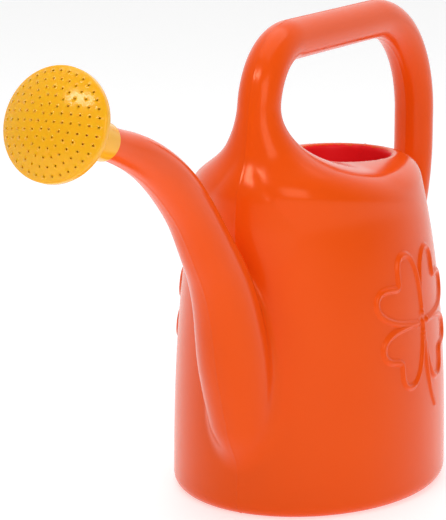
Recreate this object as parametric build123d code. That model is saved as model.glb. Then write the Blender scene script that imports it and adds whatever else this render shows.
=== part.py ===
"""Garden watering can of about eight litres, blow moulded, with a push-fit sprinkler rose.

Frame: +Z up, the spout points along -X, and the origin is on the ground, 5 mm in front of the centre of
the base ring. The can is symmetric about the plane Y = 0. All sizes are in millimetres.

The can itself is one hollow moulding. It is written as solids that meet face to face, so that each
stays simple: the tank's base, wall and top, the spout's root and neck, and the handle. The rose is two
more mouldings: a cup with the socket that slides over the spout's tip, and a perforated domed face that
snaps over the cup's rim.
"""

from build123d import *
from math import cos, pi, radians, sin, sqrt, tan
import os

# ---- Driving dimensions -------------------------------------------------------------------------

wall = 1.8  # the can's moulded wall

# Tank: an upright oval that narrows towards its top
tank_height = 244
tank_half_length = 120  # along X, at the base
tank_half_width = 100  # along Y, at the base
tank_top_length_scale = 0.9  # the top oval over the base oval, along X
tank_top_width_scale = 0.745  # and along Y
tank_taper_power = 2.6  # 1 is a straight cone; more keeps the lower half upright
tank_base_x = 5  # the base oval's centre
tank_top_x = 0  # the top oval's centre
base_edge_radius = 9
shoulder_radius = 8
base_ring_width = 14  # the flat ring that the can stands on
base_recess = 3  # how far the middle of the base is pushed up

tank_base_split = 12  # the base piece ends at this height, above the rounded edge
tank_top_split = 225  # and the top piece starts at this one, below the throat

# Fill mouth, behind the handle's front leg
mouth_radius = 38.5
mouth_x = 55
mouth_lip_radius = 2.5  # the top rolls over into the throat
throat_depth = 16

# Handle: a round tube that goes up from the front of the top, back along the grip and down to the rear wall
handle_radius = 15.8
grip_height = 341.5
front_leg_foot = (-92, 226)  # X and Z, inside the tank
front_leg_lean = 9  # degrees from upright, towards the rear
front_corner_radius = 48
rear_leg_x = 192.5
rear_corner_radius = 83
rear_leg_bend_z = 154  # where the rear leg's upright and its foot would cross
rear_bend_radius = 140
rear_foot_angle = 27  # degrees below level, of the foot where it enters the rear wall
foot_spread_width = 36  # how much further than the tube the front leg's foot reaches to each side
foot_spread_length = 18  # and how much longer it is, from front to rear
foot_base_z = 196  # it grows out of the tank's front wall here
foot_top_z = 286  # and is the plain tube from here up
foot_sink = 5  # how far inside the front wall it starts
foot_inset = 1.5  # how far inside the tube it stays at its top and along the front

# Spout: a tapering tube that leaves the front wall and turns forward
spout_root = (-87, 20)  # X and Z, inside the tank
spout_knee = (-135, 177)
spout_neck = (-209.6, 275.5)
spout_tip_angle = 19  # degrees above level
spout_length_past_neck = 110.4
spout_knee_radius = 150
spout_neck_radius = 200
spout_radii = [  # share of the spout's own line, and the outer radius there
    (0.00, 31.0),
    (0.25, 29.0),
    (0.42, 24.5),
    (0.54, 18.8),
    (0.66, 17.0),
    (0.78, 14.6),
]
tip_radius = 11
tip_length = 34  # the straight, cylindrical end that the rose slides over
spout_split = 0.53  # share of the spout's line where its root piece ends and its neck begins

# Rose
socket_wall = 2
socket_clearance = 0.08  # radial, between the spout's tip and the socket
socket_depth = 20
stop_gap = 0.4  # between the spout's end and the ledge inside the socket
ledge_thickness = 2
ledge_radius = 8.5
funnel_start_radius = 12.4  # inside the funnel, at the ledge
funnel_length = 33
rose_wall = 1.6
rim_length = 4  # the cup's cylindrical rim, inside the face's skirt
face_radius = 37.4
face_dome_height = 10
face_clearance = 0.1  # radial, between the cup's rim and the face's skirt
face_seat_gap = 0.4  # along the axis
skirt_length = 5
hole_radius = 0.65
hole_rings = 6  # round one centre hole; ring n has 6 n holes
outer_hole_ring_radius = 33.5

# ---- Shared geometry ----------------------------------------------------------------------------

tip_direction = Vector(-cos(radians(spout_tip_angle)), 0, sin(radians(spout_tip_angle)))
small = 1  # how far cutters run past what they cut
tank_sections = 6  # stretches between the ovals that the tank is drawn through
foot_sections = 6


def tank_oval(z, inset=0):
    """The tank's outline at height z, moved in by inset."""
    taper = (z / tank_height) ** tank_taper_power
    centre_x = tank_base_x + (tank_top_x - tank_base_x) * taper
    half_length = tank_half_length * (1 - (1 - tank_top_length_scale) * taper)
    half_width = tank_half_width * (1 - (1 - tank_top_width_scale) * taper)
    return Pos(centre_x, 0, z) * Ellipse(half_length - inset, half_width - inset)


def tank_form(inset=0):
    """The tank as a filled solid, with all its faces moved in by inset."""
    low, high = inset, tank_height - inset
    levels = [low + (high - low) * n / tank_sections for n in range(tank_sections + 1)]
    body = loft([tank_oval(z, inset) for z in levels])
    rims = body.edges().group_by(Axis.Z)
    body = fillet(rims[0], base_edge_radius - inset)
    return fillet(body.edges().group_by(Axis.Z)[-1], shoulder_radius - inset)


def handle_path():
    """The handle's centre line, from inside the tank's front to inside its rear wall."""
    foot_x, foot_z = front_leg_foot
    corner_x = foot_x + (grip_height - foot_z) * tan(radians(front_leg_lean))
    slope = radians(rear_foot_angle)
    foot_run = rear_bend_radius * tan((pi / 2 - slope) / 2) + wall
    rear_foot = (rear_leg_x - foot_run * cos(slope), rear_leg_bend_z - foot_run * sin(slope))
    corners = [
        front_leg_foot,
        (corner_x, grip_height),
        (rear_leg_x, grip_height),
        (rear_leg_x, rear_leg_bend_z),
        rear_foot,
    ]
    points = [Vector(x, 0, z) for x, z in corners]
    return FilletPolyline(*points, radius=[front_corner_radius, rear_corner_radius, rear_bend_radius])


def foot_oval(share, inset):
    """The spread foot's outline at a share of its height, in line with the leg's front all the way up."""
    foot_x, foot_z = front_leg_foot
    z = foot_base_z + share * (foot_top_z - foot_base_z)
    leg_x = foot_x + (z - foot_z) * tan(radians(front_leg_lean))
    spread = (1 - share**2.5) ** 2
    core = handle_radius - foot_inset - inset
    half_length = core + spread * foot_spread_length
    half_width = core + spread * foot_spread_width
    front = leg_x - core + foot_sink * (1 - share) ** 3
    return Pos(front + half_length, 0, z) * Ellipse(half_length, half_width)


def handle_form(inset=0):
    """The handle as a filled solid that runs on into the tank, with its spread foot."""
    path = handle_path()
    tube = sweep(Plane(origin=path @ 0, z_dir=path % 0) * Circle(handle_radius - inset), path=path)
    return tube + loft([foot_oval(n / foot_sections, inset) for n in range(foot_sections + 1)])


def spout_path():
    neck = Vector(spout_neck[0], 0, spout_neck[1])
    points = [Vector(x, 0, z) for x, z in (spout_root, spout_knee)]
    points += [neck, neck + tip_direction * spout_length_past_neck]
    return FilletPolyline(*points, radius=[spout_knee_radius, spout_neck_radius])


def spout_form(inset=0):
    """The spout as a filled solid that runs on into the tank, without its cylindrical tip."""
    path = spout_path()
    stations = spout_radii + [(1 - tip_length / path.length, tip_radius)]
    return loft([Plane(origin=path @ t, z_dir=path % t) * Circle(r - inset) for t, r in stations])


spout_end = spout_path() @ 1
tip_start = Plane(origin=spout_end - tip_direction * tip_length, z_dir=tip_direction)
socket_mouth = Plane(
    origin=spout_end - tip_direction * (socket_depth - stop_gap), x_dir=(0, 1, 0), z_dir=tip_direction
)


def along_tip(radius, start, length):
    """A cylinder on the tip's axis; start and length are measured from the start of the tip."""
    at = tip_start.offset(start)
    return at * Cylinder(radius, length, align=(Align.CENTER, Align.CENTER, Align.MIN))


def turned(points):
    """Turns an outline of (radius, distance from the socket's mouth) points round the rose's axis."""
    outline = Plane.XZ * make_face(Polyline(*points, close=True))
    return socket_mouth * revolve(outline, Axis.Z)


# ---- Pieces -------------------------------------------------------------------------------------


def whole_tank():
    outer = tank_form()
    mouth_cutter = Pos(mouth_x, 0, tank_height) * Cylinder(mouth_radius, 4 * throat_depth)
    outer -= mouth_cutter
    rim = outer.edges().filter_by(GeomType.CIRCLE).group_by(Axis.Z)[-1]
    outer = fillet(rim, mouth_lip_radius)

    # the base is pushed up inside a flat ring
    recess_inset = base_edge_radius + base_ring_width
    recess = extrude(tank_oval(0, recess_inset), base_recess, taper=30)
    outer -= recess
    raised_floor = extrude(tank_oval(0, recess_inset - 2 * wall), base_recess + wall, taper=30)

    # the throat's wall goes down inside the rolled lip
    top, low = tank_height, tank_height - throat_depth
    outline = Polyline(
        (0, low),
        (mouth_radius + wall, low),
        (mouth_radius + wall, top - mouth_lip_radius),
        (mouth_radius + mouth_lip_radius, top - wall),
        (mouth_radius + mouth_lip_radius, top),
        (0, top),
        close=True,
    )
    throat = Pos(mouth_x, 0, 0) * revolve(Plane.XZ * make_face(outline), Axis.Z)

    cavity = tank_form(wall) - throat - raised_floor
    return outer - cavity - spout_form(wall) - handle_openings()


def handle_openings():
    """Round openings through which the hollow handle and the tank share their air."""
    path = handle_path()
    foot_x, foot_z = front_leg_foot
    leg_x = foot_x + (tank_height - foot_z) * tan(radians(front_leg_lean))
    radius = handle_radius - 2 * wall
    front = Pos(leg_x + foot_spread_length, 0, tank_height) * Cylinder(radius, 8 * wall)
    rear = Plane(origin=path @ 1, z_dir=path % 1) * Cylinder(radius, 16 * wall)
    return [front, rear]


def level_cut(solid, height, keep):
    return split(solid, bisect_by=Plane.XY.offset(height), keep=keep)


def whole_spout():
    outer = spout_form() + along_tip(tip_radius, 0, tip_length)
    bore = spout_form(wall) + along_tip(tip_radius - wall, 0, tip_length + small)
    outer -= tank_form()
    return outer - bore


def spout_cut(solid, keep):
    """The spout on one side of its dividing plane, which is square to its line."""
    path = spout_path()
    divide = Plane(origin=path @ spout_split, z_dir=path % spout_split)
    return split(solid, bisect_by=divide, keep=keep)


def make_handle():
    return handle_form() - tank_form() - handle_form(wall)


def make_rose_cup():
    socket_bore = tip_radius + socket_clearance
    collar = socket_bore + socket_wall
    rim_outer = face_radius - rose_wall - face_clearance
    rim_inner = rim_outer - rose_wall
    ledge_top = socket_depth + ledge_thickness
    funnel_end = ledge_top + funnel_length
    rim_end = funnel_end + rim_length
    outside = [(collar, 0), (collar, socket_depth), (rim_outer, funnel_end), (rim_outer, rim_end)]
    inside = [(rim_inner, rim_end), (rim_inner, funnel_end), (funnel_start_radius, ledge_top)]
    ledge = [(ledge_radius, ledge_top), (ledge_radius, socket_depth), (socket_bore, socket_depth)]
    return turned([(socket_bore, 0)] + outside + inside + ledge)


def make_rose_face():
    funnel_end = socket_depth + ledge_thickness + funnel_length
    seat = funnel_end + rim_length + face_seat_gap  # where the dome's inner edge is
    sphere_radius = (face_radius**2 + face_dome_height**2) / (2 * face_dome_height)
    centre = seat + rose_wall + face_dome_height - sphere_radius
    edge = seat + rose_wall
    at = socket_mouth.offset(edge)
    blank = at * Cylinder(face_radius, face_dome_height, align=(Align.CENTER, Align.CENTER, Align.MIN))
    ball = socket_mouth.offset(centre) * Sphere(sphere_radius)
    skirt_at = socket_mouth.offset(edge - skirt_length)
    skirt = skirt_at * Cylinder(face_radius, skirt_length, align=(Align.CENTER, Align.CENTER, Align.MIN))
    cap = (blank & ball) + skirt
    hollow = skirt_at * Cylinder(
        face_radius - rose_wall,
        skirt_length - rose_wall,
        align=(Align.CENTER, Align.CENTER, Align.MIN),
    )
    inner_ball = socket_mouth.offset(centre - rose_wall) * Sphere(sphere_radius)
    above_seat = socket_mouth.offset(seat) * Cylinder(
        face_radius - 2 * rose_wall,
        face_dome_height,
        align=(Align.CENTER, Align.CENTER, Align.MIN),
    )
    cap = cap - hollow - (inner_ball & above_seat)
    drill = Cylinder(hole_radius, 6 * rose_wall)
    drills = [Pos(0, 0, sphere_radius) * drill]
    for ring in range(1, hole_rings + 1):
        radius = outer_hole_ring_radius * ring / hole_rings
        height = sqrt(sphere_radius**2 - radius**2)
        drills += [
            Rot(0, 0, 360 * n / (6 * ring)) * Pos(radius, 0, height) * drill for n in range(6 * ring)
        ]
    dome_centre = socket_mouth.offset(centre)
    return cap - [dome_centre * d for d in drills]


tank = whole_tank()
above_base = level_cut(tank, tank_base_split, Keep.TOP)
spout = whole_spout()

pieces = {
    "tank_base": level_cut(tank, tank_base_split, Keep.BOTTOM),
    "tank_wall": level_cut(above_base, tank_top_split, Keep.BOTTOM),
    "tank_top": level_cut(above_base, tank_top_split, Keep.TOP),
    "spout_root": spout_cut(spout, Keep.BOTTOM),
    "spout_neck": spout_cut(spout, Keep.TOP),
    "handle": make_handle(),
    "rose_cup": make_rose_cup(),
    "rose_face": make_rose_face(),
}

os.makedirs("parts", exist_ok=True)
for name, piece in pieces.items():
    export_step(piece, f"parts/{name}.step")
    print(name, "solids", len(piece.solids()), "volume", round(piece.volume))
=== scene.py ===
"""The looks of a blow-moulded plastic watering can with a sprinkler rose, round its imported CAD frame.

The can is one hollow moulding, so it is built here as one continuous skin. Its outside is the surface of
a distance field, in which the tank, the handle and the spout run into one another with moulded fillets.
Shapes are worked out in millimetres and in the frame of the part, and become metres as they turn to meshes.
"""

from math import acos, atan2, cos, hypot, pi, radians, sin, tan

import bmesh
import bpy
import numpy as np
from mathutils import Euler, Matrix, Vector
from mathutils.geometry import delaunay_2d_cdt


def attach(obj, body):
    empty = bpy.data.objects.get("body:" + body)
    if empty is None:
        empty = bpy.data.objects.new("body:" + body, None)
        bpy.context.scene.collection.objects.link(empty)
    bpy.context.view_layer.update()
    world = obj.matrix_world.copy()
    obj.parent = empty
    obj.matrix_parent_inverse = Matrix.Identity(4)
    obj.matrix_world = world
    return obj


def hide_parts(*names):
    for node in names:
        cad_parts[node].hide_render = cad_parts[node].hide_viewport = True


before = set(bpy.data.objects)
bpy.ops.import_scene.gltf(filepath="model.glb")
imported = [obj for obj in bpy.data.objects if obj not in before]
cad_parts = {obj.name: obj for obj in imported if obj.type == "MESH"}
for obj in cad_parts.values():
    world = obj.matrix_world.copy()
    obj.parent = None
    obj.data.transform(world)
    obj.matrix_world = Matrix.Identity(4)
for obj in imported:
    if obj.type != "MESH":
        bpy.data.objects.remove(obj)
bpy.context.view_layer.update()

MM = 0.001
tiny = 1e-12

# ---- Sizes, in millimetres unless they say otherwise --------------------------------------------

wall = 1.8

# Tank
tank_height = 244
base_front, front_lean = -113.5, 0.02  # the front wall's X at the ground, and its lean to the rear
half_length, half_width = 120, 100  # of the base oval
length_taper, width_taper, taper_power = 0.125, 0.255, 2.6  # how much the oval has lost at the top
base_x, top_x = 5, 2.4  # the oval's centre
base_edge, shoulder = 9, 10
ring_width, ring_slope, recess = 14, 10, 3  # the base's flat ring, and the pushed-up middle
mouth_x, mouth_radius, lip_radius, throat_depth = 55, 38.5, 2.5, 16
mouth_cut_depth, mouth_cut_rise = 40, 50  # the mouth's cut, below the top and above it
crown_half, crown_fall = 36, 0.003  # the top is level this far to each side, and then falls ever more

# Handle
grip_radius, leg_radius = 15.0, 15.8
handle_corners = [(-93.5, 215), (-74.5, 341), (192, 341), (192, 150), (114, 111)]
handle_bends = [48, 84, 138]
grip_front, grip_rear = (-80, -30), (100, 170)  # the X where the leg's tube turns into the grip's
foot_base, foot_top = 180, 300  # the front leg spreads between these heights
foot_side_curve, foot_length_curve = 84, 92  # a parabola's drop squared over its spread
foot_sink, foot_surfaces = 25, (206, 250)  # how deep in the tank the foot ends, and where it comes out
foot_edge, foot_end_edge = 10, 1
foot_blend = 26

# Spout
spout_corners = [(-87, 20), (-135, 177), (-209.6, 275.5), (-314, 311.5)]
spout_bends = [150, 200]
spout_radii = [  # distance back along the spout's line from its end, and the radius there
    (0, 11),
    (28, 11.2),
    (70, 13.9),
    (122, 16.9),
    (155, 17.7),
    (201, 20.3),
    (250, 24.2),
    (296, 27.2),
    (337, 26),
    (360, 21.5),
    (377, 14),
    (393, 4),
]
spout_blend = 6
tip_run_out = 12  # the field's spout goes on past its end, and is cut there

# Rose, measured along its axis from the socket's mouth
socket_depth, ledge, funnel, rim = 20, 2, 33, 4
socket_bore, socket_wall, ledge_radius, funnel_start = 11.08, 2, 8.5, 12.4
rose_wall, face_radius, dome_height, skirt = 1.6, 37.4, 10, 5
face_gap, seat_gap, stop_gap = 0.1, 0.4, 0.4
cup_edge, cup_bend, face_edge = 0.6, 5, 1.5  # radii of the cup's edges and bends, and of the face's edge
hole_radius, hole_rings, outer_ring = 0.5, 6, 33.5
hole_edge = 0.28  # radius of each hole's rounded edge
hole_sides, rose_sides = 14, 128  # points round a hole, and round the rose
lattice = 1.7  # the spacing of the face's points between its holes

# Relief on both sides, and the mould's parting line
relief_centre = (1, 133)  # X and Z
relief_height, relief_half_width = 2.0, 2.9
relief_y = 40  # it lies on the wall beyond this Y
leaves = [(133, 58, 0.28), (47, 58, 0.28), (220, 52, 0.22), (320, 52, 0.22)]  # angle, reach and notch
leaf_half_angle, notch_width = 43, 0.27
stem_drop, stem_lean, stem_curl = 66, 2, 14
seam_height, seam_half_width = 0.35, 0.75

cell = 2.8  # the skin's mesh size
grid_x, grid_z, grid_y_end = (-330, 216), (-4.3, 366), 112
seam_rows = [-0.38, 0.38, 1.14, 2.3, 4.2]  # Y of the grid's finer rows, at the mirror plane

# Camera, in metres and degrees; it looks to the left of +X, and down
camera_place = (-1.5913, -0.7917, 0.5661)
camera_heading, camera_pitch = 28.53, 12.58
sensor, lens = 36, 166.32  # in millimetres

# Light
room_bright, room_dim = 1.0, 0.2  # the studio's glow behind the can, and on the side it is seen from
floor_glow = 0.55  # the floor is a light table
painted_wall_glow = 0.05  # painted glow: the inside's own emission stands in for daylight that comes through the can's wall


# ---- Curves -------------------------------------------------------------------------------------


def rounded_line(corners, bends):
    """Straight runs, and arcs that round the corners: ("line", a, b) and ("arc", centre, radius, a, b)."""
    pts = [np.array(c, float) for c in corners]
    pieces, start = [], pts[0]
    for before, corner, after, radius in zip(pts, pts[1:], pts[2:], bends):
        into = (corner - before) / np.linalg.norm(corner - before)
        out = (after - corner) / np.linalg.norm(after - corner)
        turn = acos(float(np.clip(into @ out, -1, 1)))
        reach = radius * tan(turn / 2)
        first, last = corner - into * reach, corner + out * reach
        side = np.sign(into[0] * out[1] - into[1] * out[0])
        centre = first + side * radius * np.array([-into[1], into[0]])
        pieces.append(("line", start, first))
        pieces.append(("arc", centre, radius, first, last))
        start = last
    pieces.append(("line", start, pts[-1]))
    return pieces


def line_lengths(pieces):
    """The length of each run and arc."""
    lengths = []
    for kind, *data in pieces:
        if kind == "line":
            lengths.append(np.linalg.norm(data[1] - data[0]))
        else:
            centre, radius, a, b = data
            lengths.append(radius * arc_angle(centre, a, b)[1])
    return lengths


def arc_angle(centre, a, b):
    """The arc's start angle, its size, and +1 or -1 for its way round."""
    start = atan2(*(a - centre)[::-1])
    size = atan2(*(b - centre)[::-1]) - start
    size = (size + pi) % (2 * pi) - pi
    return start, abs(size), 1 if size > 0 else -1


def along(pieces, x, z):
    """Distance from the line in its plane, and how far along the line the nearest point lies."""
    best = np.full(np.shape(x), np.inf)
    place = np.zeros(np.shape(x))
    run = 0.0
    for (kind, *data), length in zip(pieces, line_lengths(pieces)):
        if kind == "line":
            a, b = data
            way = (b - a) / length
            s = np.clip((x - a[0]) * way[0] + (z - a[1]) * way[1], 0, length)
            d = np.hypot(x - a[0] - way[0] * s, z - a[1] - way[1] * s)
        else:
            centre, radius, a, b = data
            start, size, sign = arc_angle(centre, a, b)
            turn = (np.arctan2(z - centre[1], x - centre[0]) - start) * sign
            turn = (turn - size / 2 + pi) % (2 * pi) - pi + size / 2
            turn = np.clip(turn, 0, size)
            at = start + sign * turn
            d = np.hypot(x - centre[0] - radius * np.cos(at), z - centre[1] - radius * np.sin(at))
            s = radius * turn
        nearer = d < best
        best = np.where(nearer, d, best)
        place = np.where(nearer, run + s, place)
        run += length
    return best, place


def smooth_steps(stations, at):
    """A smooth curve through (place, value) stations, with no overshoot."""
    xs, ys = np.array(stations, float).T
    gaps, rises = np.diff(xs), np.diff(ys) / np.diff(xs)
    mean = 2 / (1 / (rises[:-1] + tiny) + 1 / (rises[1:] + tiny))
    mids = np.where(rises[:-1] * rises[1:] > 0, mean, 0)
    m = np.concatenate([[rises[0]], mids, [rises[-1]]])
    at = np.clip(at, xs[0], xs[-1])
    i = np.clip(np.searchsorted(xs, at) - 1, 0, len(xs) - 2)
    t = (at - xs[i]) / gaps[i]
    return (
        ys[i] * (1 + 2 * t) * (1 - t) ** 2
        + m[i] * gaps[i] * t * (1 - t) ** 2
        + ys[i + 1] * t * t * (3 - 2 * t)
        + m[i + 1] * gaps[i] * t * t * (t - 1)
    )


def ramp(value, low, high):
    """Goes smoothly from 0 at low to 1 at high."""
    t = np.clip((value - low) / (high - low), 0, 1)
    return t * t * (3 - 2 * t)


# ---- The can's distance field -------------------------------------------------------------------


def join(a, b, radius):
    """Both shapes, with a fillet in the corner between them."""
    corner = np.hypot(np.maximum(radius - a, 0), np.maximum(radius - b, 0))
    return np.maximum(np.minimum(a, b), radius) - corner


def meet(a, b, radius):
    """What the shapes share, with its edge rounded."""
    return -join(-a, -b, radius)


def oval(x, y, front, rear, side):
    """Distance from an oval whose front and rear halves have their own lengths."""
    length = np.where(x < 0, front, rear)
    q = np.sqrt((x / length) ** 2 + (y / side) ** 2) + 1e-6
    slope = np.sqrt((x / length**2) ** 2 + (y / side**2) ** 2) / q + 1e-6
    return (q - 1) / slope


def tank_sides(x, y, z):
    """The tank's wall: an oval at each height, whose front keeps to the front wall's line."""
    t = np.clip(z / tank_height, 0, 1.3) ** taper_power
    centre = base_x + (top_x - base_x) * t
    front = centre - (base_front + front_lean * z)
    rear, side = half_length * (1 - length_taper * t), half_width * (1 - width_taper * t)
    return oval(x - centre, y, front, rear, side)


def foot_sides(x, y, z):
    """The front leg's spread foot: an oval at each height, in line with the leg's front."""
    drop = np.maximum(foot_top - z, 0)
    side = leg_radius + drop**2 / foot_side_curve
    length = leg_radius + drop**2 / foot_length_curve
    front = leg_front(z)
    return oval(x - front - length, y, length, length, side)


def leg_front(z):
    """The X of the front leg's front at a height."""
    (x0, z0), (x1, z1) = handle_corners[:2]
    return x0 + (z - z0) * (x1 - x0) / (z1 - z0) - leg_radius


handle_line = rounded_line(handle_corners, handle_bends)
(tip_x0, tip_z0), (tip_x1, tip_z1) = spout_corners[-2:]
tip_run = hypot(tip_x1 - tip_x0, tip_z1 - tip_z0)
tip_way = ((tip_x1 - tip_x0) / tip_run, (tip_z1 - tip_z0) / tip_run)
spout_past = (tip_x1 + tip_way[0] * tip_run_out, tip_z1 + tip_way[1] * tip_run_out)
spout_line = rounded_line(spout_corners[:-1] + [spout_past], spout_bends)
spout_length = sum(line_lengths(spout_line)) - tip_run_out


def can_field(p):
    """Negative inside the can, taken as solid, and near enough the distance from its outside elsewhere."""
    x, y, z = p[:, 0], np.abs(p[:, 1]), p[:, 2]
    sides = tank_sides(x, y, z)

    inset = ramp(-sides, base_edge + ring_width, base_edge + ring_width + ring_slope)
    tank = meet(sides, recess * inset - z, base_edge)
    sunk = sides + foot_sink * (1 - ramp(z, *foot_surfaces))
    foot = meet(foot_sides(x, y, z), sunk, foot_edge)
    foot = meet(foot, np.maximum(z - foot_top, foot_base - z), foot_end_edge)
    fall = crown_fall * np.maximum(y - crown_half, 0) ** 2
    tank = meet(tank, z - tank_height + fall, shoulder)

    d, s = along(handle_line, x, z)
    on_grip = ramp(x, *grip_front) * (1 - ramp(x, *grip_rear))
    handle = np.hypot(d, y) - (leg_radius + (grip_radius - leg_radius) * on_grip)

    d, s = along(spout_line, x, z)
    spout = np.hypot(d, y) - smooth_steps(spout_radii, spout_length - s)

    f = join(tank, np.minimum(foot, handle), foot_blend)
    f = join(f, spout, spout_blend)
    mouth = np.maximum(np.hypot(x - mouth_x, y) - mouth_radius, tank_height - mouth_cut_depth - z)
    mouth = np.maximum(mouth, z - tank_height - mouth_cut_rise)
    return meet(f, -mouth, lip_radius)


def slopes(field, p):
    """The field's slope along X, Y and Z at each point."""
    step = 0.05
    out = np.empty_like(p)
    for axis in range(3):
        shift = np.zeros(3)
        shift[axis] = step
        out[:, axis] = (field(p + shift) - field(p - shift)) / (2 * step)
    return out


def settle(field, p, rounds):
    """Moves points onto the field's surface."""
    for _ in range(rounds):
        slope = slopes(field, p)
        step = field(p) / np.maximum((slope**2).sum(1), 0.05)
        p = p - slope * np.clip(step, -cell, cell)[:, None]
    return p


def relaxed(points, quads):
    """Draws each point half way to the middle of its neighbours."""
    total, count = np.zeros_like(points), np.zeros(len(points))
    for side in (1, 3):
        np.add.at(total, quads, points[np.roll(quads, side, 1)])
        np.add.at(count, quads, 1)
    return (points + total / count[:, None]) / 2


def surface_net(field, lines):
    """A quad mesh of the field's surface, from its values on a grid with these X, Y and Z.

    Each cell that the surface passes through gets a point, in the middle of its edges' crossings. Each
    grid edge that crosses the surface gets a quad of the four cells round it.
    """
    shape = [len(g) for g in lines]
    values = np.empty(shape)
    yz = np.stack(np.meshgrid(lines[1], lines[2], indexing="ij"), -1).reshape(-1, 2)
    for i, x in enumerate(lines[0]):
        values[i] = field(np.column_stack([np.full(len(yz), x), yz])).reshape(shape[1:])
    inside = values < 0
    cells = [n - 1 for n in shape]
    count = np.zeros(cells, np.int8)
    for corner in np.ndindex(2, 2, 2):
        part = tuple(slice(c, c + n) for c, n in zip(corner, cells))
        count += inside[part]
    active = np.argwhere((count > 0) & (count < 8))
    ids = np.full(cells, -1)
    ids[tuple(active.T)] = np.arange(len(active))

    total, hits = np.zeros((len(active), 3)), np.zeros(len(active))
    for axis in range(3):
        u, v = (axis + 1) % 3, (axis + 2) % 3
        for du, dv in np.ndindex(2, 2):
            low = active.copy()
            low[:, u] += du
            low[:, v] += dv
            high = low.copy()
            high[:, axis] += 1
            a, b = values[tuple(low.T)], values[tuple(high.T)]
            crossed = (a < 0) != (b < 0)
            share = np.where(crossed, a / np.where(a == b, 1, a - b), 0)
            spot = np.column_stack([lines[k][low[:, k]] for k in range(3)])
            spot[:, axis] += share * (lines[axis][high[:, axis]] - spot[:, axis])
            total += np.where(crossed[:, None], spot, 0)
            hits += crossed
    points = total / hits[:, None]

    quads = []
    for axis in range(3):
        u, v = (axis + 1) % 3, (axis + 2) % 3
        a = np.take(inside, range(shape[axis] - 1), axis)
        b = np.take(inside, range(1, shape[axis]), axis)
        edges = np.argwhere(a != b)
        for across in (u, v):
            edges = edges[(edges[:, across] > 0) & (edges[:, across] < cells[across])]
        ring = []
        for du, dv in ((0, 0), (-1, 0), (-1, -1), (0, -1)):
            at = edges.copy()
            at[:, u] += du
            at[:, v] += dv
            ring.append(ids[tuple(at.T)])
        quad = np.column_stack(ring)
        outward = a[tuple(edges.T)]
        quads.append(np.where(outward[:, None], quad, quad[:, ::-1]))
    return points, np.concatenate(quads)


# ---- The relief: a four-leaf clover in outline --------------------------------------------------


def leaf_outline(angle, reach, notch):
    """A heart-shaped leaf from the centre, as closely spaced points: blunt, with a notch in its end."""
    u = np.linspace(-1, 1, 420)
    r = reach * (1 - np.abs(u) ** 5) ** 0.55 * (1 - notch * np.exp(-((u / notch_width) ** 2)))
    at = np.radians(angle + leaf_half_angle * u)
    cx, cz = relief_centre
    return np.column_stack([cx + r * np.cos(at), cz + r * np.sin(at)])


def relief_lines():
    cx, cz = relief_centre
    t = np.linspace(0, 1, 220)
    stem = np.column_stack([cx + stem_lean * t + stem_curl * t**3, cz - stem_drop * t])
    return np.concatenate([leaf_outline(*leaf) for leaf in leaves] + [stem])


def nearest(x, z, lines, parts):
    """Each place's distance from the nearest of the lines' points, worked out in parts to save memory."""
    gaps = []
    for px, pz in zip(np.array_split(x, parts), np.array_split(z, parts)):
        gaps.append(np.hypot(px[:, None] - lines[:, 0], pz[:, None] - lines[:, 1]).min(1))
    return np.concatenate(gaps)


def bead(distance, half):
    """A raised bead's height, which runs out smoothly into the wall."""
    t = np.clip(distance / half, 0, 1)
    return (1 - t * t) ** 1.3


def relief(p):
    """How far the relief stands out at each point."""
    height = np.zeros(len(p))
    side = np.abs(p[:, 1]) > relief_y
    gap = nearest(p[side, 0], p[side, 2], relief_lines(), 24)
    height[side] = relief_height * bead(gap, relief_half_width)
    return height


# ---- Mesh helpers -------------------------------------------------------------------------------


def new_object(name, points, faces, smooth=True):
    """An object from points in millimetres."""
    mesh = bpy.data.meshes.new(name)
    mesh.from_pydata((np.asarray(points) * MM).tolist(), [], [list(f) for f in faces])
    mesh.validate()
    if smooth:
        mesh.shade_smooth()
    obj = bpy.data.objects.new(name, mesh)
    bpy.context.scene.collection.objects.link(obj)
    return obj


def read_bmesh(bm):
    bm.verts.index_update()
    points = np.array([v.co for v in bm.verts])
    return points, [[v.index for v in f.verts] for f in bm.faces]


def boundary_edges(faces):
    """Edges used by one face, in that face's own direction."""
    seen = {}
    for face in faces:
        for a, b in zip(face, face[1:] + face[:1]):
            if (b, a) in seen:
                del seen[b, a]
            else:
                seen[a, b] = True
    return list(seen)


def bridge(rings):
    """Quads from each ring of point numbers to the next, which has as many."""
    faces = []
    for a, b in zip(rings, rings[1:]):
        m = len(a)
        faces += [[a[i], b[i], b[(i + 1) % m], a[(i + 1) % m]] for i in range(m)]
    return faces


# ---- The can ------------------------------------------------------------------------------------


def at_mouth(place, margin, low, high):
    """Whether a place lies in the mouth's circle, made wider by the margin, and between the heights."""
    x, y, z = place
    return hypot(x - mouth_x, y) < mouth_radius + margin and low < z < high


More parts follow.
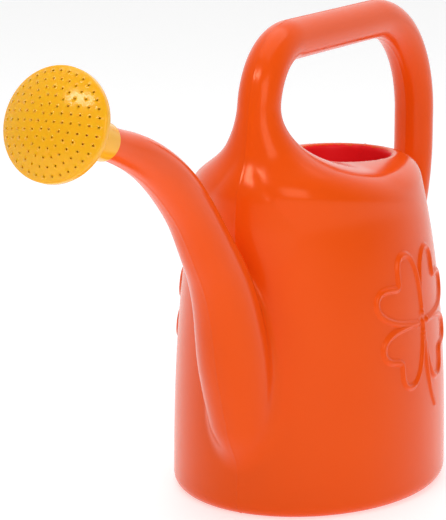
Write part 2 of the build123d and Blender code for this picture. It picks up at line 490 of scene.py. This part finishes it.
def can_half():
    """The outer skin's half with Y of 0 and more: open at the mirror plane, the throat and the tip."""
    xs = np.arange(*grid_x, cell)
    ys = np.concatenate([seam_rows, np.arange(seam_rows[-1] + cell, grid_y_end, cell)])
    zs = np.arange(*grid_z, cell)
    points, quads = surface_net(can_field, [xs, ys, zs])
    middle = np.abs(points[:, 1]) < seam_rows[1] * 0.99
    for _ in range(2):
        points[middle, 1] = 0
        points = settle(can_field, relaxed(points, quads), 3)
    points[middle, 1] = 0

    mesh = bpy.data.meshes.new("half")
    mesh.from_pydata(points.tolist(), [], quads.tolist())
    bm = bmesh.new()
    bm.from_mesh(mesh)
    bpy.data.meshes.remove(mesh)

    side = [f for f in bm.faces if f.calc_center_median().y > relief_y]
    centres = np.array([f.calc_center_median()[:] for f in side])
    gap = nearest(centres[:, 0], centres[:, 2], relief_lines()[::4], 12)
    near = [f for f, g in zip(side, gap) if g < relief_half_width + cell]
    edges = list(dict.fromkeys(e for f in near for e in f.edges))
    bmesh.ops.subdivide_edges(bm, edges=edges, cuts=3, use_grid_fill=True)

    low = tank_height - mouth_cut_depth - cell
    margin = lip_radius + 2
    throat = [f for f in bm.faces if at_mouth(f.calc_center_median(), margin, low, tank_height)]
    cut(bm, throat, (mouth_x, 0, tank_height - throat_depth), (0, 0, -1))
    tip = [f for f in bm.faces if f.calc_center_median().x < tip_x1 + 2.5 * tip_run_out]
    cut(bm, tip, (tip_x1, 0, tip_z1), (tip_way[0], 0, tip_way[1]))
    loose = [v for v in bm.verts if not v.link_faces]
    bmesh.ops.delete(bm, geom=loose, context="VERTS")
    result = read_bmesh(bm)
    bm.free()
    return result


def cut(bm, faces, point, normal):
    """Cuts the faces with a plane and takes away what lies past it."""
    geom = list(dict.fromkeys(g for f in faces for g in (f, *f.edges, *f.verts)))
    bmesh.ops.bisect_plane(bm, geom=geom, plane_co=point, plane_no=normal, clear_outer=True, dist=1e-4)


def make_can():
    """The can's skin: its outside, its inside a wall's thickness in, and the rims that join the two."""
    points, faces = can_half()
    points = settle(can_field, points, 2)
    middle = np.abs(points[:, 1]) < 1e-6
    points[middle, 1] = 0
    normals = slopes(can_field, points)
    normals[middle, 1] = 0
    normals /= np.linalg.norm(normals, axis=1)[:, None]

    seam = seam_height * bead(np.abs(points[:, 1]), seam_half_width)
    inner = points - wall * normals
    outer = points + (relief(points) + seam)[:, None] * normals
    outer[:, 1] = np.minimum(outer[:, 1], half_width)  # relief and seam don't widen or lower the can
    outer[:, 2] = np.maximum(outer[:, 2], 0)

    n = len(points)
    rim = [(a, b) for a, b in boundary_edges(faces) if not (middle[a] and middle[b])]
    half = faces + [[v + n for v in reversed(f)] for f in faces]
    half += [[b, a, a + n, b + n] for a, b in rim]
    both = np.concatenate([outer, inner])
    middle = np.concatenate([middle, middle])

    # the other half is its mirror image, and shares the points at the mirror plane
    twin = np.where(middle, np.arange(2 * n), np.cumsum(~middle) - 1 + 2 * n)
    every = half + [[int(twin[v]) for v in reversed(f)] for f in half]
    can = new_object("can_shell", np.concatenate([both, both[~middle] * [1, -1, 1]]), every)

    # the inner skin takes the redder painted-shade material
    inside = np.zeros(len(every), np.int32)
    for start in (0, len(half)):
        inside[start + len(faces) : start + 2 * len(faces)] = 1
    # the outside skin down the throat takes the painted-shade material too
    throat = tank_height - throat_depth - cell, tank_height - lip_radius / 2
    for i, face in enumerate(can.data.polygons):
        if at_mouth(face.center / MM, 0.5, *throat):
            inside[i] = 1
    can.data.polygons.foreach_set("material_index", inside)
    return can


# ---- The rose -----------------------------------------------------------------------------------


def rose_place(points):
    """Takes points from the rose's own frame to the part's.

    Theirs are the distances along +Y, across, and along the rose's axis from the socket's mouth.
    """
    p = np.asarray(points, float)
    tip = np.array([tip_way[0], 0, tip_way[1]])
    across = np.cross(tip, [0, 1, 0])
    start = np.array([tip_x1, 0, tip_z1]) - tip * (socket_depth - stop_gap)
    return start + p[:, :1] * [0, 1, 0] + p[:, 1:2] * across + p[:, 2:] * tip


def softened(corners, radius):
    """A closed outline with each corner rounded. A corner may name its own radius as a third value."""
    steps = 4
    pts = [np.array(c[:2], float) for c in corners]
    out = []
    for i, corner in enumerate(pts):
        before, after = pts[i - 1], pts[(i + 1) % len(pts)]
        own = corners[i][2] if len(corners[i]) > 2 else radius
        into, out_way = corner - before, after - corner
        a, b = np.linalg.norm(into), np.linalg.norm(out_way)
        into, out_way = into / a, out_way / b
        turn = acos(float(np.clip(into @ out_way, -1, 1)))
        reach = min(own * tan(turn / 2), 0.45 * a, 0.45 * b)
        first, last = corner - into * reach, corner + out_way * reach
        for k in range(steps + 1):
            t = k / steps
            out.append((1 - t) ** 2 * first + 2 * t * (1 - t) * corner + t * t * last)
    return np.array(out)


def circle(count):
    """Points round a circle of radius 1."""
    turn = np.arange(count) * 2 * pi / count
    return np.column_stack([np.cos(turn), np.sin(turn)])


def lathe(outline):
    """Turns a closed outline of (radius, height) round the rose's axis."""
    n = len(outline)
    points = np.array([(r * x, r * y, h) for x, y in circle(rose_sides) for r, h in outline])
    faces = []
    for i in range(rose_sides):
        j = (i + 1) % rose_sides
        faces += [[i * n + k, i * n + (k + 1) % n, j * n + (k + 1) % n, j * n + k] for k in range(n)]
    return points, faces


def make_rose_cup():
    rim_outer = face_radius - rose_wall - face_gap
    rim_inner = rim_outer - rose_wall
    ledge_top = socket_depth + ledge
    funnel_end = ledge_top + funnel
    rim_end = funnel_end + rim
    collar = socket_bore + socket_wall
    corners = [(socket_bore, 0), (collar, 0), (collar, socket_depth, cup_bend)]
    corners += [(rim_outer, funnel_end, cup_bend), (rim_outer, rim_end)]
    corners += [(rim_inner, rim_end), (rim_inner, funnel_end, cup_bend)]
    corners += [(funnel_start, ledge_top), (ledge_radius, ledge_top)]
    corners += [(ledge_radius, socket_depth), (socket_bore, socket_depth)]
    points, faces = lathe(softened(corners, cup_edge))
    return new_object("rose_funnel", rose_place(points), faces)


def hole_places():
    """The holes' middles: one in the centre, and 6 n of them on ring n."""
    spots = [(0.0, 0.0)]
    for n in range(1, hole_rings + 1):
        r = outer_ring * n / hole_rings
        spots += [(r * cos(2 * pi * k / (6 * n)), r * sin(2 * pi * k / (6 * n))) for k in range(6 * n)]
    return np.array(spots)


def pierced_disc(radius, spots):
    """A flat triangulated disc with a hole at each spot: its points, triangles, edge and holes' edges."""
    opening = hole_radius + hole_edge
    flat = [tuple(p) for p in radius * circle(rose_sides)]
    loops = [list(range(rose_sides))]
    for spot in spots:
        start = len(flat)
        flat += [tuple(spot + c * opening) for c in circle(hole_sides)]
        loops.append([start + k for k in reversed(range(hole_sides))])
    edge_room, hole_room = 0.9, 0.55  # the lattice keeps this far from the edge and the holes
    row = 0.866  # the height between its rows over its spacing
    reach = int(radius / (lattice * row)) + 1
    for i in range(-reach, reach + 1):
        for j in range(-reach, reach + 1):
            p = np.array([i * lattice + (j % 2) * lattice / 2, j * lattice * row])
            if hypot(*p) < radius - edge_room and np.hypot(*(spots - p).T).min() > opening + hole_room:
                flat.append(tuple(p))
    verts, _, tris, made_from, *_ = delaunay_2d_cdt([Vector(p) for p in flat], [], loops, 2, 1e-6)
    place_of = {old: new for new, olds in enumerate(made_from) for old in olds}
    points = np.array([v[:] for v in verts])
    tris = [list(t) for t in tris]
    for t in tris:
        (ax, ay), (bx, by), (cx, cy) = points[t]
        if (bx - ax) * (cy - ay) - (by - ay) * (cx - ax) < 0:
            t.reverse()
    edge = [place_of[i] for i in loops[0]]
    holes = [[place_of[i] for i in reversed(loop)] for loop in loops[1:]]
    return points, tris, edge, holes


def make_rose_face():
    """The domed face with its holes, its inner skin, and the skirt round it."""
    edge = socket_depth + ledge + funnel + rim + seat_gap + rose_wall
    sphere = (face_radius**2 + dome_height**2) / (2 * dome_height)
    centre = edge + dome_height - sphere

    def on_dome(xy, depth):
        xy = np.asarray(xy, float)
        up = np.sqrt(sphere**2 - (xy**2).sum(1))
        way = np.column_stack([xy, up]) / sphere
        return np.column_stack([xy, up + centre]) - way * depth

    points, faces, total = [], [], 0

    def new_points(more):
        nonlocal total
        points.append(more)
        total += len(more)
        return list(range(total - len(more), total))

    spots = hole_places()
    flat, tris, disc_edge, holes = pierced_disc(face_radius - face_edge, spots)
    n = len(flat)
    new_points(on_dome(flat, 0))
    new_points(on_dome(flat, rose_wall))
    faces += tris + [[v + n for v in reversed(t)] for t in tris]

    # each hole's outer edge is rounded: how far the ring is from the bore, as a share, and its depth
    levels = [(0.3, 0.04), (0.09, 0.12), (0.0, hole_edge), (0.0, rose_wall - hole_edge)]
    for spot, top in zip(spots, holes):
        rings = [top]
        for share, depth in levels:
            ring = spot + circle(hole_sides) * (hole_radius + hole_edge * share)
            rings.append(new_points(on_dome(ring, depth)))
        rings.append([v + n for v in top])
        faces += bridge(rings)

    # the skirt: round the face's edge, down the outside, round the lower edge and up the inside
    edge_r, inner_r, bottom = face_radius - face_edge, face_radius - rose_wall, edge - skirt
    shoulder_z = on_dome([(edge_r, 0)], 0)[0, 2] - 0.25
    profile = []
    for a in np.linspace(0.5, pi / 2, 6):
        profile.append((edge_r + face_edge * sin(a), shoulder_z - face_edge * (1 - cos(a))))
    profile += [(face_radius, bottom + 0.5), (face_radius - 0.15, bottom + 0.15)]
    profile += [(face_radius - 0.5, bottom), (inner_r + 0.4, bottom)]
    profile += [(inner_r + 0.1, bottom + 0.15), (inner_r, bottom + 0.5)]
    profile += [(inner_r, edge - rose_wall - 0.3), (inner_r - 0.4, edge - rose_wall)]
    rings = [disc_edge]
    for r, h in profile:
        rings.append(new_points(np.column_stack([r * circle(rose_sides), np.full(rose_sides, h)])))
    rings.append([v + n for v in disc_edge])
    faces += bridge(rings)
    return new_object("rose_sprinkler_face", rose_place(np.concatenate(points)), faces)


# ---- Materials ----------------------------------------------------------------------------------


def shader_of(mat):
    return mat.node_tree.nodes["Principled BSDF"]


def plastic(name, colour, tint, sheen, roughness, wave_height=0.00012):
    """Moulded glossy plastic, clouded between its colour and its tint, with a skin that isn't quite even.

    The sheen tints its highlights, and the waves in its skin are wave_height metres high.
    """
    mat = bpy.data.materials.new(name)
    mat.use_nodes = True
    nodes, links = mat.node_tree.nodes, mat.node_tree.links
    shader = shader_of(mat)
    shader.inputs["IOR"].default_value = 1.5
    shader.inputs["Specular IOR Level"].default_value = 0.42
    shader.inputs["Specular Tint"].default_value = (*sheen, 1)
    where = nodes.new("ShaderNodeTexCoord")

    def noise(scale, detail=2.0):
        node = nodes.new("ShaderNodeTexNoise")
        node.inputs["Scale"].default_value = scale
        node.inputs["Detail"].default_value = detail
        links.new(where.outputs["Object"], node.inputs["Vector"])
        return node

    mix = nodes.new("ShaderNodeMix")
    mix.data_type = "RGBA"
    mix.inputs["A"].default_value = (*colour, 1)
    mix.inputs["B"].default_value = (*tint, 1)
    links.new(noise(14, 3).outputs["Fac"], mix.inputs["Factor"])
    links.new(mix.outputs["Result"], shader.inputs["Base Color"])

    spread = nodes.new("ShaderNodeMapRange")
    spread.inputs["To Min"].default_value = roughness - 0.05
    spread.inputs["To Max"].default_value = roughness + 0.07
    links.new(noise(45, 4).outputs["Fac"], spread.inputs["Value"])
    links.new(spread.outputs["Result"], shader.inputs["Roughness"])

    last = None
    for scale, height in ((38, wave_height), (420, wave_height * 0.07)):
        bump = nodes.new("ShaderNodeBump")
        bump.inputs["Strength"].default_value = 1
        bump.inputs["Distance"].default_value = height
        links.new(noise(scale, 1).outputs["Fac"], bump.inputs["Height"])
        if last:
            links.new(last.outputs["Normal"], bump.inputs["Normal"])
        last = bump
    links.new(last.outputs["Normal"], shader.inputs["Normal"])
    return mat


# ---- Build --------------------------------------------------------------------------------------

orange = plastic("orange_plastic", (0.86, 0.08, 0.003), (0.89, 0.092, 0.005), (1, 0.5, 0.32), 0.19)
# painted shade: the can is one orange plastic; its inside is drawn as a redder, darker copy of it, in place
# of the shade and orange bounce light in the tank and throat
inner_painted_shade = plastic(
    "orange_plastic_painted_inner_shade", (0.94, 0.012, 0.016), (0.95, 0.016, 0.02), (1, 0.4, 0.4), 0.4
)
painted_glow_shader = shader_of(inner_painted_shade)
# painted glow: the inside gives off a faint red light of its own, in place of daylight through the wall
painted_glow_shader.inputs["Emission Color"].default_value = (1, 0.015, 0.025, 1)
painted_glow_shader.inputs["Emission Strength"].default_value = painted_wall_glow
yellow = plastic("yellow_plastic", (0.98, 0.44, 0.008), (0.99, 0.46, 0.01), (1, 0.85, 0.7), 0.17, 0.00005)
yellow_shader = shader_of(yellow)
yellow_shader.inputs["Subsurface Weight"].default_value = 0.35
yellow_shader.inputs["Subsurface Radius"].default_value = (1, 0.6, 0.15)
yellow_shader.inputs["Subsurface Scale"].default_value = 0.003

can = make_can()
can.data.materials.append(orange)
can.data.materials.append(inner_painted_shade)
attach(can, "can")
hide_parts("tank_base", "tank_wall", "tank_top", "spout_root", "spout_neck", "handle")

rose_cup = make_rose_cup()
rose_cup.data.materials.append(yellow)
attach(rose_cup, "rose_cup")
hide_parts("rose_cup")

rose_face = make_rose_face()
rose_face.data.materials.append(yellow)
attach(rose_face, "rose_face")
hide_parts("rose_face")


# ---- Floor, light and camera --------------------------------------------------------------------


def make_floor():
    n, reach = 4, 9000
    line = np.linspace(-reach, reach, n + 1)
    spots = [(x, y, 0) for x in line for y in line]
    corners = [i * (n + 1) + j for i in range(n) for j in range(n)]
    faces = [[a, a + n + 1, a + n + 2, a + 1] for a in corners]
    floor = new_object("floor", spots, faces, smooth=False)
    mat = bpy.data.materials.new("pale_floor")
    mat.use_nodes = True
    shader = shader_of(mat)
    shader.inputs["Base Color"].default_value = (0.6, 0.6, 0.6, 1)
    shader.inputs["Roughness"].default_value = 0.6
    shader.inputs["Emission Color"].default_value = (1, 1, 1, 1)
    shader.inputs["Emission Strength"].default_value = floor_glow
    floor.data.materials.append(mat)


def make_studio():
    """A white room behind the can, which is dimmer on the side that the can is seen from."""
    world = bpy.data.worlds.new("studio")
    world.use_nodes = True
    nodes, links = world.node_tree.nodes, world.node_tree.links
    where = nodes.new("ShaderNodeTexCoord")
    facing = nodes.new("ShaderNodeVectorMath")
    facing.operation = "DOT_PRODUCT"
    facing.inputs[1].default_value = (cos(radians(camera_heading)), sin(radians(camera_heading)), 0)
    glow = nodes.new("ShaderNodeMapRange")
    glow.inputs["From Min"].default_value = -0.2
    glow.inputs["From Max"].default_value = 0.8
    glow.inputs["To Min"].default_value = room_dim
    glow.inputs["To Max"].default_value = room_bright
    links.new(where.outputs["Generated"], facing.inputs[0])
    links.new(facing.outputs["Value"], glow.inputs["Value"])
    links.new(glow.outputs["Result"], nodes["Background"].inputs["Strength"])
    nodes["Background"].inputs["Color"].default_value = (1, 1, 1, 1)
    bpy.context.scene.world = world


def area_light(name, place, target, size, power):
    """A white panel; places and sizes are in metres, and the power in watts."""
    light = bpy.data.lights.new(name, "AREA")
    light.shape = "RECTANGLE"
    light.size, light.size_y = size
    light.energy = power
    obj = bpy.data.objects.new(name, light)
    obj.location = place
    obj.rotation_euler = (Vector(target) - Vector(place)).to_track_quat("-Z", "Y").to_euler()
    bpy.context.scene.collection.objects.link(obj)


make_floor()
make_studio()
bpy.context.scene.view_settings.view_transform = "Standard"

area_light("window", (-1.28, 0.08, 1.5), (-0.2, 0, 0.25), (0.66, 0.24), 7.5)
area_light("fill", (-1.4, -1.6, 1.0), (0, 0, 0.2), (1.1, 1.1), 11)
area_light("overhead", (0.2, 0.0, 2.3), (0, 0, 0.2), (2.2, 2.2), 22)

camera_data = bpy.data.cameras.new("camera")
camera_data.sensor_width = sensor
camera_data.lens = lens
camera = bpy.data.objects.new("camera", camera_data)
camera.location = camera_place
camera.rotation_euler = Euler((radians(90 - camera_pitch), 0, radians(camera_heading - 90)))
bpy.context.scene.collection.objects.link(camera)
bpy.context.scene.camera = camera
